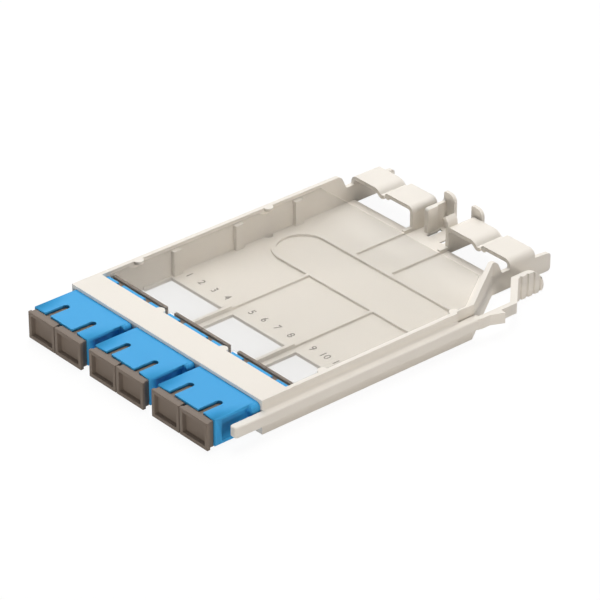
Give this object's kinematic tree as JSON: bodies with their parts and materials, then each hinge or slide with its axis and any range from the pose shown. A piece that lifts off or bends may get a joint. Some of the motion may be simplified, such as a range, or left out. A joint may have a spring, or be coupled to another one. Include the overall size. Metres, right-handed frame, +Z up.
{
  "type": "fibre patch module",
  "caption": "Flat moulded tray with blue fibre adapters and dust caps in front, fibre store under a clear lid, rear cable guides and a side latch that snaps into a panel.",
  "frame": {"origin": "on the tray's underside, below the middle of the adapter seats at mid-width", "axes": "+X to the latch side, +Y from the adapters to the rear, +Z up out of the open tray"},
  "size_m": [0.0938, 0.1474, 0.0128],
  "materials": {
    "tray": "warm white moulded plastic",
    "lid": "clear plastic, slightly hazy",
    "adapter": "blue moulded plastic",
    "sleeve": "white ceramic",
    "cap": "brown-grey moulded plastic"
  },
  "bodies": {
    "tray_body": {"tray": "tray", "adapter_1_front_shell": "adapter", "adapter_1_rear_shell": "adapter", "adapter_2_front_shell": "adapter", "adapter_2_rear_shell": "adapter", "adapter_3_front_shell": "adapter", "adapter_3_rear_shell": "adapter", "sleeve_1": "sleeve", "sleeve_2": "sleeve", "sleeve_3": "sleeve", "sleeve_4": "sleeve", "sleeve_5": "sleeve", "sleeve_6": "sleeve", "sleeve_7": "sleeve", "sleeve_8": "sleeve", "sleeve_9": "sleeve", "sleeve_10": "sleeve", "sleeve_11": "sleeve", "sleeve_12": "sleeve"},
    "latch": {"latch_arm": "tray"},
    "lid": {"clear_lid": "lid"},
    "front_cap_1_body": {"front_cap_1": "cap"},
    "front_cap_2_body": {"front_cap_2": "cap"},
    "front_cap_3_body": {"front_cap_3": "cap"},
    "front_cap_4_body": {"front_cap_4": "cap"},
    "front_cap_5_body": {"front_cap_5": "cap"},
    "front_cap_6_body": {"front_cap_6": "cap"},
    "rear_cap_1_body": {"rear_cap_1": "cap"},
    "rear_cap_2_body": {"rear_cap_2": "cap"},
    "rear_cap_3_body": {"rear_cap_3": "cap"},
    "rear_cap_4_body": {"rear_cap_4": "cap"},
    "rear_cap_5_body": {"rear_cap_5": "cap"},
    "rear_cap_6_body": {"rear_cap_6": "cap"}
  },
  "joints": [
    {"name": "latch_flex", "type": "hinge", "parent": "tray_body", "child": "latch", "pos_m": [0.04648, 0.0783, 0.0063], "axis": [0, 0, 1], "range_deg": [0, 7], "stiffness_Nm_per_rad": 0.4},
    {"name": "lid_slide", "type": "slide", "parent": "tray_body", "child": "lid", "axis": [0, 1, 0], "range_m": [0, 0.002]},
    {"name": "front_cap_1_pull", "type": "slide", "parent": "tray_body", "child": "front_cap_1_body", "axis": [0, -1, 0], "range_m": [0, 0.0084]},
    {"name": "front_cap_2_pull", "type": "slide", "parent": "tray_body", "child": "front_cap_2_body", "axis": [0, -1, 0], "range_m": [0, 0.0084]},
    {"name": "front_cap_3_pull", "type": "slide", "parent": "tray_body", "child": "front_cap_3_body", "axis": [0, -1, 0], "range_m": [0, 0.0084]},
    {"name": "front_cap_4_pull", "type": "slide", "parent": "tray_body", "child": "front_cap_4_body", "axis": [0, -1, 0], "range_m": [0, 0.0084]},
    {"name": "front_cap_5_pull", "type": "slide", "parent": "tray_body", "child": "front_cap_5_body", "axis": [0, -1, 0], "range_m": [0, 0.0084]},
    {"name": "front_cap_6_pull", "type": "slide", "parent": "tray_body", "child": "front_cap_6_body", "axis": [0, -1, 0], "range_m": [0, 0.0084]},
    {"name": "rear_cap_1_pull", "type": "slide", "parent": "tray_body", "child": "rear_cap_1_body", "axis": [0, 1, 0], "range_m": [0, 0.0084]},
    {"name": "rear_cap_2_pull", "type": "slide", "parent": "tray_body", "child": "rear_cap_2_body", "axis": [0, 1, 0], "range_m": [0, 0.0084]},
    {"name": "rear_cap_3_pull", "type": "slide", "parent": "tray_body", "child": "rear_cap_3_body", "axis": [0, 1, 0], "range_m": [0, 0.0084]},
    {"name": "rear_cap_4_pull", "type": "slide", "parent": "tray_body", "child": "rear_cap_4_body", "axis": [0, 1, 0], "range_m": [0, 0.0084]},
    {"name": "rear_cap_5_pull", "type": "slide", "parent": "tray_body", "child": "rear_cap_5_body", "axis": [0, 1, 0], "range_m": [0, 0.0084]},
    {"name": "rear_cap_6_pull", "type": "slide", "parent": "tray_body", "child": "rear_cap_6_body", "axis": [0, 1, 0], "range_m": [0, 0.0084]}
  ]
}
